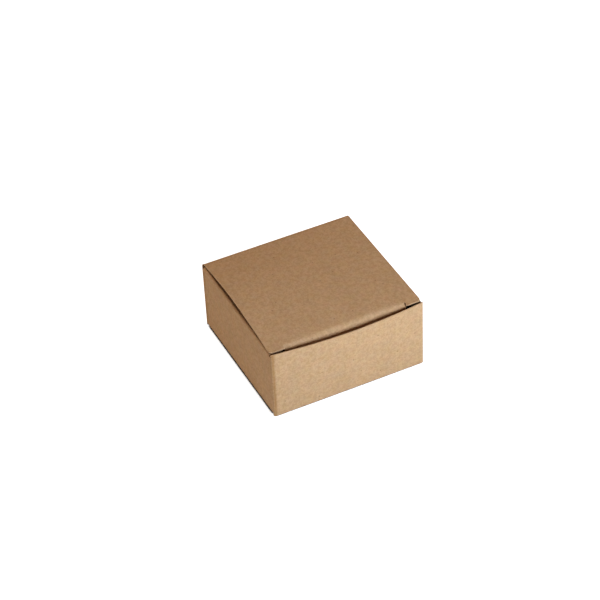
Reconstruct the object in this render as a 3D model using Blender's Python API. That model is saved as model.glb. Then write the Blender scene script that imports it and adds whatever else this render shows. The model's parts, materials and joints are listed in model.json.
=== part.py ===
"""Candy favor box: a folding carton of kraft paperboard with slit-lock tuck closures.

The box is one die-cut blank. Four walls and a glue flap make its sleeve. At the top and at
the base the same closure repeats: a cover hinged on the back wall, a tuck flap on the
cover's front edge and two dust flaps on the side walls. Each panel between creases is one
object, and each moving panel has its origin on its crease.

X runs along the front from left to right, Y from front to back, Z up. The origin is the
centre of the sleeve's footprint on the underside.
"""
import math

import bmesh
import bpy
from mathutils import Vector

# Driving sizes, in metres.
INSIDE_WIDTH = 0.0825
INSIDE_DEPTH = 0.0794
INSIDE_HEIGHT = 0.0384  # between the lid and the bottom panel
BOARD = 0.0005  # thickness of the paperboard

# Clear spaces between panels.
CREASE_GAP = 0.0003  # across a crease, from the turning panel to the one that carries it
LAYER_GAP = 0.0003  # between two layers that lie on each other
TUCK_CLEARANCE = 0.0011  # from the tuck flap and the cover's front edge to the front wall
FLAP_FRONT_CLEARANCE = 0.0004  # from a dust flap's front edge to the tuck flap
FLAP_REAR_CLEARANCE = 0.0008  # from a dust flap's rear edge to the glue flap
COVER_SIDE_INSET = 0.0004  # from a cover's side edge to the outside of the side wall
TUCK_SIDE_CLEARANCE = 0.0015  # from a tuck flap's end to the inside of the side wall

# Tuck flaps and the rolled crease that carries them.
ROLL_RADIUS = 0.00275  # to the middle of the board, at both ends of the roll
TUCK_BULGE = 0.0024  # how much wider the lid's roll is at its middle, where it fills the bow
TUCK_DEPTH = 0.012
TUCK_CORNER_RADIUS = 0.008
TUCK_LEAN = math.radians(7)

# Slits at both ends of the rolled crease, each with a nick across its inner end.
SLIT_LENGTH = 0.0082
NICK_WIDTH = 0.0004
COVER_CORNER_RADIUS = 0.0015

# Dust flaps: a lock shoulder at the front, then a step back, and a tapered rear edge.
DUST_LENGTH = 0.030
SHOULDER_LENGTH = 0.0072
SHOULDER_STEP = 0.0032
DUST_CORNER_RADIUS = 0.004
DUST_FRONT_TAPER = math.radians(5)
DUST_REAR_TAPER = math.radians(30)

# Glue flap, folded in from the right wall behind the back wall.
GLUE_WIDTH = 0.012
GLUE_TAPER = math.radians(15)

# Spring of the set-up box: the front wall bulges at its top, the lid lifts at its left edge.
FRONT_BOW = 0.0029
LID_ARCH = 0.0025
LID_ARCH_SKEW_SHARE = 0.15  # second wave's share of the arch, which moves its crest back

# Facets.
FOLD_STEPS = 3
CORNER_STEPS = 4
ROLL_STEPS = 4
BOW_COLUMNS = 16
BOW_ROWS = 6
ARCH_COLUMNS = 8
ARCH_ROWS = 12
TUCK_ROWS = 2

# The board's colour, in linear RGB, and its roughness.
KRAFT_COLOUR = (0.45, 0.29, 0.16)
KRAFT_ROUGHNESS = 0.8

# Sizes that follow.
HALF_BOARD = BOARD / 2
WIDTH = INSIDE_WIDTH + 2 * BOARD
DEPTH = INSIDE_DEPTH + 2 * BOARD
HEIGHT = INSIDE_HEIGHT + 2 * BOARD
HALF_FOLD = math.pi / 4
FOLD_SET_SHARE = 1 - math.cos(HALF_FOLD)  # how far inside a square corner the crease line lies
FOLD_RADIUS = (HALF_BOARD + CREASE_GAP) / (2 * math.sin(HALF_FOLD / 2))

# Middle planes of the board, at rest.
LEFT_X = -WIDTH / 2 + HALF_BOARD
RIGHT_X = WIDTH / 2 - HALF_BOARD
FRONT_Y = -DEPTH / 2 + HALF_BOARD
BACK_Y = DEPTH / 2 - HALF_BOARD
GLUE_Y = BACK_Y - BOARD - LAYER_GAP
TUCK_Y = FRONT_Y + BOARD + TUCK_CLEARANCE
COVER_LEVEL = HALF_BOARD  # of a cover, in from the top or from the underside
DUST_LEVEL = COVER_LEVEL + BOARD + LAYER_GAP  # of a dust flap, measured likewise
COVER_HALF_WIDTH = WIDTH / 2 - COVER_SIDE_INSET
SLIT_X = COVER_HALF_WIDTH - SLIT_LENGTH
DUST_FRONT_Y = TUCK_Y + HALF_BOARD + FLAP_FRONT_CLEARANCE
DUST_REAR_Y = GLUE_Y - HALF_BOARD - FLAP_REAR_CLEARANCE


def clear_scene():
    """Remove every object that the scene starts with."""
    for obj in list(bpy.data.objects):
        bpy.data.objects.remove(obj, do_unlink=True)


def spread(start, end, steps):
    """Evenly spaced values from start to end, both included."""
    return [start + (end - start) * step / steps for step in range(steps + 1)]


def kraft(name):
    """Uncoated paperboard for one panel."""
    material = bpy.data.materials.new(name + "_kraft")
    material.use_nodes = True
    shader = material.node_tree.nodes["Principled BSDF"]
    shader.inputs["Base Color"].default_value = (*KRAFT_COLOUR, 1)
    shader.inputs["Roughness"].default_value = KRAFT_ROUGHNESS
    shader.inputs["Metallic"].default_value = 0
    return material


def make_panel(name, pivot, rows, cut=None, parent=None):
    """Object with its middle surface on the grid `rows` and the board's thickness about it.

    `cut` says of a cell, by its row and column, whether the die cuts it away.
    """
    work = bmesh.new()
    grid = [[work.verts.new(Vector(point) - pivot) for point in row] for row in rows]
    for i in range(len(grid) - 1):
        for j in range(len(grid[i]) - 1):
            if cut is None or not cut(i, j):
                work.faces.new((grid[i][j], grid[i][j + 1], grid[i + 1][j + 1], grid[i + 1][j]))
    spare = [vert for vert in work.verts if not vert.link_faces]
    bmesh.ops.delete(work, geom=spare, context="VERTS")
    bmesh.ops.recalc_face_normals(work, faces=work.faces)
    mesh = bpy.data.meshes.new(name)
    work.to_mesh(mesh)
    work.free()
    mesh.shade_smooth()
    mesh.materials.append(kraft(name))
    panel = bpy.data.objects.new(name, mesh)
    panel.parent = parent
    panel.location = pivot - (parent.location if parent else Vector())
    bpy.context.scene.collection.objects.link(panel)
    thickness = panel.modifiers.new("board", "SOLIDIFY")
    thickness.thickness = BOARD
    thickness.offset = 0
    thickness.use_even_offset = True
    return panel


def fold_line(radius, lean=0.0, steps=FOLD_STEPS):
    """Middle line of a panel's half of a fold, as pairs (along, out) from the square corner.

    It starts on the crease, halfway round the fold, and ends where the panel runs straight.
    """
    line = []
    for turn in spread(0, HALF_FOLD + lean, steps):
        angle = HALF_FOLD - turn
        line.append((radius - radius * math.sin(angle), radius * math.cos(angle) - radius))
    return line


def place(corner, along, out, across, point):
    """World place of the point (along, out, across) of a fold's own axes."""
    return corner + along * point[0] + out * point[1] + across * point[2]


def crease_point(corner, along, out, radius):
    """The crease line's place beside a fold's square corner."""
    inward = radius * FOLD_SET_SHARE
    return corner + along * inward - out * inward


def corner_arc(centre_x, centre_y, start, end):
    """Plan points of a vertical fold round its centre, from one direction to another."""
    return [
        (centre_x + FOLD_RADIUS * math.cos(turn), centre_y + FOLD_RADIUS * math.sin(turn))
        for turn in spread(start, end, CORNER_STEPS)
    ]


def upright(plan, low, high):
    """Grid of an upright panel: one row at its lower edge and one at its upper edge."""
    return [[Vector((x, y, low)) for x, y in plan], [Vector((x, y, high)) for x, y in plan]]


def swell(x, half_span):
    """Share of a bulge at x: a half wave, nothing at both ends of its span and past them."""
    return math.cos(math.pi / 2 * min(abs(x) / half_span, 1))


def front_bow(x, z):
    """How far the front wall bulges forward: more and more towards its top edge."""
    rise = z / HEIGHT
    return FRONT_BOW * swell(x, RIGHT_X - FOLD_RADIUS) * (rise + rise**2) / 2


def make_front_wall():
    """Front wall with the vertical folds at both of its ends; its top and bottom are cut edges."""
    centre_y = FRONT_Y + FOLD_RADIUS
    plan = corner_arc(LEFT_X + FOLD_RADIUS, centre_y, math.pi, 1.5 * math.pi)
    inner = spread(LEFT_X + FOLD_RADIUS, RIGHT_X - FOLD_RADIUS, BOW_COLUMNS)[1:-1]
    plan += [(x, FRONT_Y) for x in inner]
    plan += corner_arc(RIGHT_X - FOLD_RADIUS, centre_y, 1.5 * math.pi, 2 * math.pi)
    rows = [
        [Vector((x, y - front_bow(x, z), z)) for x, y in plan]
        for z in spread(0, HEIGHT, BOW_ROWS)
    ]
    return make_panel("front_wall", Vector(), rows)


def make_side_wall(name, x, rear_y):
    """Side wall, whose upper and lower edges lie at the dust flaps' creases."""
    low = DUST_LEVEL + FOLD_RADIUS
    plan = [(x, FRONT_Y + FOLD_RADIUS + CREASE_GAP), (x, rear_y - FOLD_RADIUS - CREASE_GAP)]
    return make_panel(name, Vector(), upright(plan, low, HEIGHT - low))


def make_back_wall():
    """Back wall with the fold to the left wall; at the right it ends in a cut edge.

    Its edges stop a layer gap short of the folds, which clears a cover that is folded right back.
    """
    low = COVER_LEVEL + FOLD_RADIUS + LAYER_GAP
    plan = corner_arc(LEFT_X + FOLD_RADIUS, BACK_Y - FOLD_RADIUS, math.pi, math.pi / 2)
    plan.append((COVER_HALF_WIDTH, BACK_Y))
    return make_panel("back_wall", Vector(), upright(plan, low, HEIGHT - low))


def make_glue_flap():
    """Glue flap with the fold to the right wall, glued inside the back wall."""
    low = DUST_LEVEL + FOLD_RADIUS
    plan = corner_arc(RIGHT_X - FOLD_RADIUS, GLUE_Y - FOLD_RADIUS, 0, math.pi / 2)
    rows = upright(plan, low, HEIGHT - low)
    drop = GLUE_WIDTH * math.tan(GLUE_TAPER)
    end_x = RIGHT_X - FOLD_RADIUS - GLUE_WIDTH
    rows[0].append(Vector((end_x, GLUE_Y, low + drop)))
    rows[1].append(Vector((end_x, GLUE_Y, HEIGHT - low - drop)))
    return make_panel("glue_flap", Vector(), rows)


def closure_level(side, inset):
    """Height of a plane that lies `inset` in from the top (side 1) or the underside (side -1)."""
    return HEIGHT - inset if side > 0 else inset


def arch_lift(x, share):
    """How far the lid rises above its flat shape, most at its left edge."""
    across = (COVER_HALF_WIDTH - x) / (2 * COVER_HALF_WIDTH)
    wave = math.sin(math.pi * share) + LID_ARCH_SKEW_SHARE * math.sin(2 * math.pi * share)
    return LID_ARCH * across * wave


def roll_radius(x, side):
    """Radius of the roll at x: on the lid it widens to the bulge of the front wall."""
    return ROLL_RADIUS + (TUCK_BULGE * swell(x, SLIT_X) if side > 0 else 0)


def cover_columns():
    """Places across a cover: its rounded corners, its slits' nicks and an even spacing."""
    turns = spread(0, math.pi / 2, CORNER_STEPS)
    corner = [COVER_HALF_WIDTH - COVER_CORNER_RADIUS * (1 - math.sin(turn)) for turn in turns]
    right = [SLIT_X, SLIT_X + NICK_WIDTH] + corner
    middle = spread(-SLIT_X, SLIT_X, ARCH_COLUMNS)[1:-1]
    return sorted([-x for x in right]) + middle + right


def cover_front(x, straight_end):
    """Depth from the back corner to the cut front edge of a cover's end, at x."""
    past = abs(x) - (COVER_HALF_WIDTH - COVER_CORNER_RADIUS)
    cut_edge = straight_end + ROLL_RADIUS + HALF_BOARD
    if past <= 0:
        return cut_edge
    return cut_edge - COVER_CORNER_RADIUS + math.sqrt(max(COVER_CORNER_RADIUS**2 - past**2, 0))


def cover_line(x, straight_end, side):
    """Middle line of a cover at x, as pairs (along, out), from its crease to its front."""
    line = fold_line(FOLD_RADIUS)
    line += [(along, 0) for along in spread(FOLD_RADIUS, straight_end, ARCH_ROWS)[1:]]
    if abs(x) > SLIT_X + NICK_WIDTH / 2:
        ends = spread(straight_end, cover_front(x, straight_end), ROLL_STEPS)[1:]
        return line + [(along, 0) for along in ends]
    radius = roll_radius(x, side)
    roll = HALF_FOLD - (HALF_BOARD + CREASE_GAP) / radius
    for turn in spread(0, roll, ROLL_STEPS)[1:]:
        line.append((straight_end + radius * math.sin(turn), radius * math.cos(turn) - radius))
    return line


def make_cover(name, side):
    """Lid or bottom panel: flat ends with a slit each, and a rolled front between them."""
    along, out = Vector((0, -1, 0)), Vector((0, 0, side))
    corner = Vector((0, BACK_Y, closure_level(side, COVER_LEVEL)))
    straight_end = BACK_Y - TUCK_Y - ROLL_RADIUS
    columns = cover_columns()
    lines = [cover_line(x, straight_end, side) for x in columns]
    rows = []
    for i in range(len(lines[0])):
        row = []
        for x, line in zip(columns, lines):
            share = min(line[i][0] / straight_end, 1)
            lift = arch_lift(x, share) if side > 0 else 0
            point = (line[i][0], line[i][1] + lift, x)
            row.append(place(corner, along, out, Vector((1, 0, 0)), point))
        rows.append(row)
    nick = SLIT_X + NICK_WIDTH / 2
    nicks = [j for j in range(len(columns) - 1) if columns[j] < nick < columns[j + 1]]
    nicks += [j for j in range(len(columns) - 1) if columns[j] < -nick < columns[j + 1]]
    front = len(rows) - 1 - ROLL_STEPS
    pivot = crease_point(corner, along, out, FOLD_RADIUS)
    return make_panel(name, pivot, rows, lambda i, j: i >= front and j in nicks)


def tuck_columns(half_width):
    """Places across a tuck flap: its rounded corners, its slits and an even spacing."""
    turns = spread(0, math.pi / 2, 2 * CORNER_STEPS)
    corner = [half_width - TUCK_CORNER_RADIUS * (1 - math.sin(turn)) for turn in turns]
    mirrored = [-x for x in corner]
    return sorted(set(mirrored + spread(-SLIT_X, SLIT_X, ARCH_COLUMNS) + corner))


def tuck_line(x, half_width, side):
    """Middle line of a tuck flap at x, as pairs (along, out), from its crease to its free edge."""
    radius = roll_radius(x, side)
    bulge = radius - ROLL_RADIUS
    line = [(along, out + bulge) for along, out in fold_line(radius, TUCK_LEAN, ROLL_STEPS)]
    past = max(abs(x) - (half_width - TUCK_CORNER_RADIUS), 0)
    rounding = TUCK_CORNER_RADIUS - math.sqrt(max(TUCK_CORNER_RADIUS**2 - past**2, 0))
    reach = TUCK_DEPTH - rounding - line[-1][0]
    step = reach / TUCK_ROWS
    for _ in range(TUCK_ROWS):
        along, out = line[-1]
        line.append((along + step * math.cos(TUCK_LEAN), out - step * math.sin(TUCK_LEAN)))
    return line


def make_tuck(name, side, parent):
    """Tuck flap: its rolled crease between the slits, and a shoulder past each slit."""
    along, out = Vector((0, 0, -side)), Vector((0, -1, 0))
    corner = Vector((0, TUCK_Y, closure_level(side, COVER_LEVEL)))
    half_width = INSIDE_WIDTH / 2 - TUCK_SIDE_CLEARANCE
    columns = tuck_columns(half_width)
    lines = [tuck_line(x, half_width, side) for x in columns]
    rows = [
        [place(corner, along, out, Vector((1, 0, 0)), (*line[i], x)) for x, line in zip(columns, lines)]
        for i in range(len(lines[0]))
    ]
    shoulders = [j for j in range(len(columns) - 1) if abs(columns[j] + columns[j + 1]) / 2 > SLIT_X]
    widest = roll_radius(0, side)
    pivot = crease_point(corner + out * (widest - ROLL_RADIUS), along, out, widest)
    slit = ROLL_STEPS
    return make_panel(name, pivot, rows, lambda i, j: i < slit and j in shoulders, parent)


def rounded(before, point, after, radius):
    """Points that round an outline's corner, tangent to the edges on both sides of it."""
    here = Vector(point)
    back, ahead = (Vector(before) - here).normalized(), (Vector(after) - here).normalized()
    half_angle = back.angle(ahead) / 2
    centre = here + (back + ahead).normalized() * (radius / math.sin(half_angle))
    start = here + back * (radius / math.tan(half_angle)) - centre
    end = here + ahead * (radius / math.tan(half_angle)) - centre
    turns = [start.lerp(end, share).normalized() for share in spread(0, 1, CORNER_STEPS)]
    return [centre + turn * radius for turn in turns]


def dust_outline():
    """Free edge of a dust flap from its front to its rear, as pairs (reach, y)."""
    shoulder = (SHOULDER_LENGTH, DUST_FRONT_Y + SHOULDER_STEP)
    run = DUST_LENGTH - SHOULDER_LENGTH
    front_tip = (DUST_LENGTH, shoulder[1] + run * math.tan(DUST_FRONT_TAPER))
    rear_tip = (DUST_LENGTH, DUST_REAR_Y - DUST_LENGTH * math.tan(DUST_REAR_TAPER))
    outline = [Vector((SHOULDER_LENGTH, DUST_FRONT_Y)), Vector(shoulder)]
    outline += rounded(shoulder, front_tip, rear_tip, DUST_CORNER_RADIUS)
    outline += rounded(front_tip, rear_tip, (0, DUST_REAR_Y), DUST_CORNER_RADIUS)
    return outline


def make_dust_flap(name, side, hand):
    """Dust flap on the left wall (hand -1) or the right wall (hand 1)."""
    along, out = Vector((-hand, 0, 0)), Vector((0, 0, side))
    corner = Vector((RIGHT_X * hand, 0, closure_level(side, DUST_LEVEL)))
    outline = dust_outline()
    crease = spread(DUST_FRONT_Y, DUST_REAR_Y, len(outline) - 1)
    rows = [
        [place(corner, along, out, Vector((0, 1, 0)), (*step, y)) for y in crease]
        for step in fold_line(FOLD_RADIUS)
    ]
    rows.append([place(corner, along, out, Vector((0, 1, 0)), (reach, 0, y)) for reach, y in outline])
    pivot = crease_point(corner, along, out, FOLD_RADIUS)
    return make_panel(name, pivot, rows)


def make_sleeve():
    """The four walls and the glue flap, which stand up as one square sleeve."""
    make_front_wall()
    make_side_wall("left_wall", LEFT_X, BACK_Y)
    make_back_wall()
    make_side_wall("right_wall", RIGHT_X, GLUE_Y)
    make_glue_flap()


def make_closure(side, cover_name, prefix):
    """One closure: its cover, the cover's tuck flap and the two dust flaps beneath it."""
    cover = make_cover(cover_name, side)
    make_tuck(prefix + "tuck_flap", side, cover)
    make_dust_flap(prefix + "left_dust_flap", side, -1)
    make_dust_flap(prefix + "right_dust_flap", side, 1)


def main():
    """Build the whole box, closed."""
    clear_scene()
    make_sleeve()
    make_closure(1, "lid", "")
    make_closure(-1, "bottom_panel", "bottom_")


if __name__ == "__main__":
    main()
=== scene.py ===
"""Candy favor box in natural kraft board: its looks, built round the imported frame.

The carton is one die-cut blank. Each stretch of board here is a grid of points on the board's
middle surface, which a Solidify modifier thickens, and each crease is the round fold that real
board makes. A point's UV is its place on the flat blank, in metres, so the paper's formation,
fibres and flecks run on from wall to lid to flap without a seam.
"""
import json
import logging
import math
from dataclasses import dataclass, field
from enum import Enum, IntEnum

import bpy
import numpy as np
from mathutils import Matrix, Vector


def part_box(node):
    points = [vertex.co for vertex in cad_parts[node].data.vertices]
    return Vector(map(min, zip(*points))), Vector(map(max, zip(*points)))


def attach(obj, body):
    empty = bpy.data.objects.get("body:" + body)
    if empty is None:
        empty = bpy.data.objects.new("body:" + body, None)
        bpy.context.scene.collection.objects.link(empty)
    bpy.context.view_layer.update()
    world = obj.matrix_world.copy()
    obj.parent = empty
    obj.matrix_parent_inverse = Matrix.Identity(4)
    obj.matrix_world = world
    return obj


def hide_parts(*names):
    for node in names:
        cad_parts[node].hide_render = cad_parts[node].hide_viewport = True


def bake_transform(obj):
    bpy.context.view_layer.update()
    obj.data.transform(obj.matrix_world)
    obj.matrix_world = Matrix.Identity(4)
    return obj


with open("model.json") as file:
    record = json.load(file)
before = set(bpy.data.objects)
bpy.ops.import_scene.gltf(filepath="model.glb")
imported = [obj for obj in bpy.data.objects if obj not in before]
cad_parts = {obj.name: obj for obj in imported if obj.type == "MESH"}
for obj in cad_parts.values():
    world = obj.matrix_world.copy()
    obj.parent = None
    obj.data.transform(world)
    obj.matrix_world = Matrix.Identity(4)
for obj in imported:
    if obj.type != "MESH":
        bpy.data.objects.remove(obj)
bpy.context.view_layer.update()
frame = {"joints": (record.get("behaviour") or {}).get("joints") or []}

Tree = bpy.types.NodeTree
Socket = bpy.types.NodeSocket
Rgb = tuple[float, float, float]

BLANK_MAP = "blank"  # UV map: place on the flat blank, in metres
PAINTED_LIGHT_ATTRIBUTE = "crease"  # painted light and shade: 1 on a line of painted shade, 0 on plain board, below 0 where the roll has a painted highlight
MILLIMETRES = 1000  # in a metre
QUARTER = math.pi / 2  # quarter of a turn, in radians
SET_SHARE = 1 - math.cos(QUARTER / 2)  # of its radius: how far a fold's middle lies in from both panels

SRGB_TOE_END = 0.04045
SRGB_TOE_SLOPE = 12.92
SRGB_OFFSET = 0.055
SRGB_POWER = 2.4
BYTE_MAX = 255

WHITE = (1.0, 1.0, 1.0, 1.0)
UNTINTED = (1.0, 1.0, 1.0)
MIX_FIRST, MIX_SECOND, MIX_RESULT = 6, 7, 2  # a Mix node's colour sockets, whose names aren't unique

log = logging.getLogger("favor_box")


class End(IntEnum):
    """Which end of the sleeve a closure shuts; the value is the way out along Z."""

    TOP = 1
    BASE = -1


class Hand(IntEnum):
    """Side of the box; the value is the way out along X."""

    LEFT = -1
    RIGHT = 1


class Wall(Enum):
    """Walls of the sleeve that carry flaps."""

    RIGHT = "right"
    LEFT = "left"
    BACK = "back"


class Surface(IntEnum):
    """Material slots of a thickened board."""

    FACE = 0
    INSIDE = 1
    CUT_EDGE = 2


def linear(colour: str) -> tuple[float, float, float, float]:
    """Turn an sRGB hex colour into linear RGBA.

    A dark level is divided by the slope of the toe. Any other is moved up by the offset, scaled
    so that 1 stays 1, and raised to the power.

    Args:
        colour: Six hex digits after a hash.

    Returns:
        Red, green, blue and an alpha of 1, linear.
    """
    levels = np.array(list(bytes.fromhex(colour[1:]))) / BYTE_MAX
    toe = levels / SRGB_TOE_SLOPE
    curve = ((levels + SRGB_OFFSET) / (1 + SRGB_OFFSET)) ** SRGB_POWER
    return (*np.where(levels <= SRGB_TOE_END, toe, curve).tolist(), 1.0)


def add_node(tree: Tree, kind: str, settings: dict | None = None,
             inputs: dict | None = None) -> bpy.types.Node:
    """Add one shader node.

    Args:
        tree: Node tree that gets the node.
        kind: Blender's class name of the node.
        settings: Properties of the node.
        inputs: Socket name or number to a value, or to the socket that feeds it.

    Returns:
        The new node.
    """
    node = tree.nodes.new(kind)
    for name, value in (settings or {}).items():
        setattr(node, name, value)
    for name, value in (inputs or {}).items():
        if isinstance(value, Socket):
            tree.links.new(value, node.inputs[name])
        else:
            node.inputs[name].default_value = value
    return node


def new_material(name: str, roughness: float, specular: float) -> bpy.types.Material:
    """Make a material with the shader's constant sockets set.

    Args:
        name: Name of the real material.
        roughness: Roughness of its surface.
        specular: Specular level of its surface.

    Returns:
        The new material, with its colour still to be dressed.
    """
    material = bpy.data.materials.new(name)
    material.use_nodes = True
    sockets = material.node_tree.nodes["Principled BSDF"].inputs
    sockets["Roughness"].default_value = roughness
    sockets["Specular IOR Level"].default_value = specular
    return material


@dataclass(frozen=True)
class CartonSizes:
    """Sizes of the closed carton, in metres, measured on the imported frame."""

    board: float  # thickness of the paperboard
    left_x: float  # middle planes of the walls and of the glue flap
    right_x: float
    back_y: float
    glue_y: float
    glue_end_x: float  # cut ends of the glue flap and of the back wall
    back_end_x: float
    height: float
    crease_gap: float  # flat board between a corner's fold and the side wall's own columns
    fold_radius: float  # of every fold but the rolls, to the middle of the board
    cover_edge: float  # how far inside the closed box's end the back wall's crease begins
    dust_edge: float  # the same for the side walls' creases
    dust_inset: float  # how far inside the end a dust flap's middle plane lies
    bow: float  # how far the front wall springs forward at its top
    tuck_y: float  # middle plane in which the roll's ends finish
    roll_end_radius: float
    roll_middle_radius: float

    @classmethod
    def measure(cls) -> "CartonSizes":
        """Read the sizes from the nodes' boxes and the joints' places.

        A hinge lies on the middle of its fold, so the distance from a panel's middle plane to
        the hinge, divided by SET_SHARE, is the fold's radius.

        Returns:
            The carton's sizes.
        """
        pivot = {joint["name"]: joint["pos_m"] for joint in frame["joints"]}
        walls = ("left_wall", "front_wall", "back_wall", "glue_flap")
        left, front, back, glue = (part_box(name) for name in walls)
        board = left[1].x - left[0].x
        height = front[1].z
        cover_z = height - board / 2
        radius = (cover_z - pivot["lid_open"][2]) / SET_SHARE
        roll_end = (pivot["bottom_tuck_fold"][2] - board / 2) / SET_SHARE
        back_y = back[1].y - board / 2
        return cls(
            board=board,
            left_x=(left[0].x + left[1].x) / 2,
            right_x=-(left[0].x + left[1].x) / 2,
            back_y=back_y,
            glue_y=glue[1].y - board / 2,
            glue_end_x=glue[0].x,
            back_end_x=back[1].x,
            height=height,
            crease_gap=left[0].y + back_y - radius,
            fold_radius=radius,
            cover_edge=back[0].z,
            dust_edge=left[0].z,
            dust_inset=cover_z + board / 2 - pivot["left_dust_fold"][2] - radius * SET_SHARE,
            bow=-front[0].y - back_y - board / 2,
            tuck_y=pivot["bottom_tuck_fold"][1] - roll_end * SET_SHARE,
            roll_end_radius=roll_end,
            roll_middle_radius=(cover_z - pivot["tuck_fold"][2]) / SET_SHARE,
        )

    @property
    def front_y(self) -> float:
        """Middle plane of the front wall at its foot."""
        return -self.back_y


@dataclass(frozen=True)
class KraftBoard:
    """Natural kraft paperboard: unbleached long-fibre pulp, uncoated, machine-finished.

    The pulp settles in soft clouds, so the sheet is mottled at the size of its flocs. Single
    fibres and shives lie on it as light and dark hairs and flecks. It is matt. Painted shade
    darkens it along each fold, and a painted highlight lightens the start of the tuck flap's roll.
    Its die-cut edges are open fibre, paler than the face.
    """

    dark_floc: str = "#BB9167"
    light_floc: str = "#C8A076"
    hair: str = "#CEA87E"
    edge: str = "#CDA57B"
    shive: str = "#77522E"
    hue_drift: Rgb = (0.13, 0.0, 0.24)  # how far red, green and blue wander
    inside_tint: Rgb = (0.7, 0.46, 0.27)  # what the browner inside keeps of red, green and blue
    painted_shade_tint: Rgb = (0.72, 0.62, 0.48)  # what a line of painted shade keeps of red, green and blue
    roughness: float = 0.78
    specular: float = 0.1
    cloud_size: float = 0.012  # slow clouds of thicker and thinner sheet
    tint_size: float = 0.005  # patches of one hue
    floc_size: float = 0.0021  # single flocs of fibre
    grit_size: float = 0.0009  # real fibres are 0.03 mm wide; drawn this coarse so that they show
    formation_detail: float = 2.0  # octaves of finer noise on each of these sizes
    formation_roughness: float = 0.55  # share that each octave keeps of the one before it
    mottle_range: tuple[float, float] = (0.72, 1.28)  # fibre at which a floc is darkest and lightest
    cloud_range: tuple[float, float] = (0.94, 1.06)  # brightness of the thinnest and thickest cloud
    hair_width: float = 0.0005  # drawn this wide for the same reason
    hair_length: float = 0.0035  # softwood fibres are about 3 mm long
    hair_turn: float = 0.35  # radians between the hairs and the blank's long side
    hair_detail: float = 1.0
    hair_waviness: float = 0.6
    hair_range: tuple[float, float] = (0.62, 0.82)  # noise at which a hair begins and is whole
    hair_cover: float = 0.4  # how much of the sheet's colour a whole hair hides
    fleck_spacing: float = 0.018  # from shive to shive
    fleck_radius: float = 0.0004
    fleck_cover: float = 0.6  # how much of the sheet's colour a shive hides
    relief: float = 0.0002
    relief_strength: float = 0.6

    def material(self, surface: Surface) -> bpy.types.Material:
        """Make the material of one surface of the board.

        Args:
            surface: Outer face, inside face or cut edge.

        Returns:
            The new material.
        """
        name = f"natural_kraft_board_{surface.name.lower()}"
        material = new_material(name, self.roughness, self.specular)
        tree = material.node_tree
        shader = tree.nodes["Principled BSDF"]
        place = add_node(tree, "ShaderNodeUVMap", {"uv_map": BLANK_MAP}).outputs["UV"]
        if surface is Surface.CUT_EDGE:
            self._dress_edge(tree, shader, place)
        else:
            tint = UNTINTED if surface is Surface.FACE else self.inside_tint
            self._dress_face(tree, shader, place, tint)
        return material

    def _formation(self, tree: Tree, place: Socket, size: float) -> bpy.types.Node:
        """Unevenness of the pulp at one size: noise over the blank.

        Args:
            tree: Node tree of the material.
            place: Place on the flat blank.
            size: How wide a cloud, patch or floc is, in metres.

        Returns:
            The noise.
        """
        return add_node(tree, "ShaderNodeTexNoise", {"noise_dimensions": "2D"},
                        {"Vector": place, "Scale": 1 / size, "Detail": self.formation_detail,
                         "Roughness": self.formation_roughness})

    def _dress_face(self, tree: Tree, shader: bpy.types.Node, place: Socket, tint: Rgb) -> None:
        """Dress a face of the board in its colour and relief.

        The fibre is the sum of flocs and grit. It mottles the sheet and raises it.

        Args:
            tree: Node tree of the material.
            shader: Its Principled BSDF.
            place: Place on the flat blank.
            tint: Share of the sheet's red, green and blue that this face shows.
        """
        floc = self._formation(tree, place, self.floc_size)
        grit = self._formation(tree, place, self.grit_size)
        fibre = add_node(tree, "ShaderNodeMath", {"operation": "ADD"},
                         {0: floc.outputs["Fac"], 1: grit.outputs["Fac"]}).outputs[0]
        sheet = self._fibre_colour(tree, place, fibre)
        # The hue, then the painted shade and highlight that the mesh attribute carries.
        for factor in (self._hue(tree, place, tint), self._painted_crease_shade(tree)):
            sheet = add_node(tree, "ShaderNodeVectorMath", {"operation": "MULTIPLY"},
                             {0: sheet, 1: factor}).outputs[0]
        thin, thick = self.cloud_range
        cloud = add_node(tree, "ShaderNodeMapRange", {},
                         {"Value": self._formation(tree, place, self.cloud_size).outputs["Fac"],
                          "To Min": thin, "To Max": thick})
        toned = add_node(tree, "ShaderNodeVectorMath", {"operation": "SCALE"},
                         {0: sheet, "Scale": cloud.outputs[0]})
        tree.links.new(toned.outputs[0], shader.inputs["Base Color"])
        bump = add_node(tree, "ShaderNodeBump", {},
                        {"Height": fibre, "Distance": self.relief, "Strength": self.relief_strength})
        tree.links.new(bump.outputs[0], shader.inputs["Normal"])

    def _fibre_colour(self, tree: Tree, place: Socket, fibre: Socket) -> Socket:
        """Lay light flocs, pale hairs and dark shives over the dark flocs.

        Args:
            tree: Node tree of the material.
            place: Place on the flat blank.
            fibre: Sum of flocs and grit.

        Returns:
            The sheet's colour.
        """
        darkest, lightest = self.mottle_range
        mottle = add_node(tree, "ShaderNodeMapRange", {"interpolation_type": "SMOOTHSTEP"},
                          {"Value": fibre, "From Min": darkest, "From Max": lightest})
        layers = [
            (mottle.outputs[0], self.light_floc),
            (self._hairs(tree, place), self.hair),
            (self._flecks(tree, place), self.shive),
        ]
        sheet = linear(self.dark_floc)
        for cover, colour in layers:
            inputs = {"Factor": cover, MIX_FIRST: sheet, MIX_SECOND: linear(colour)}
            sheet = add_node(tree, "ShaderNodeMix", {"data_type": "RGBA"}, inputs).outputs[MIX_RESULT]
        return sheet

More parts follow.
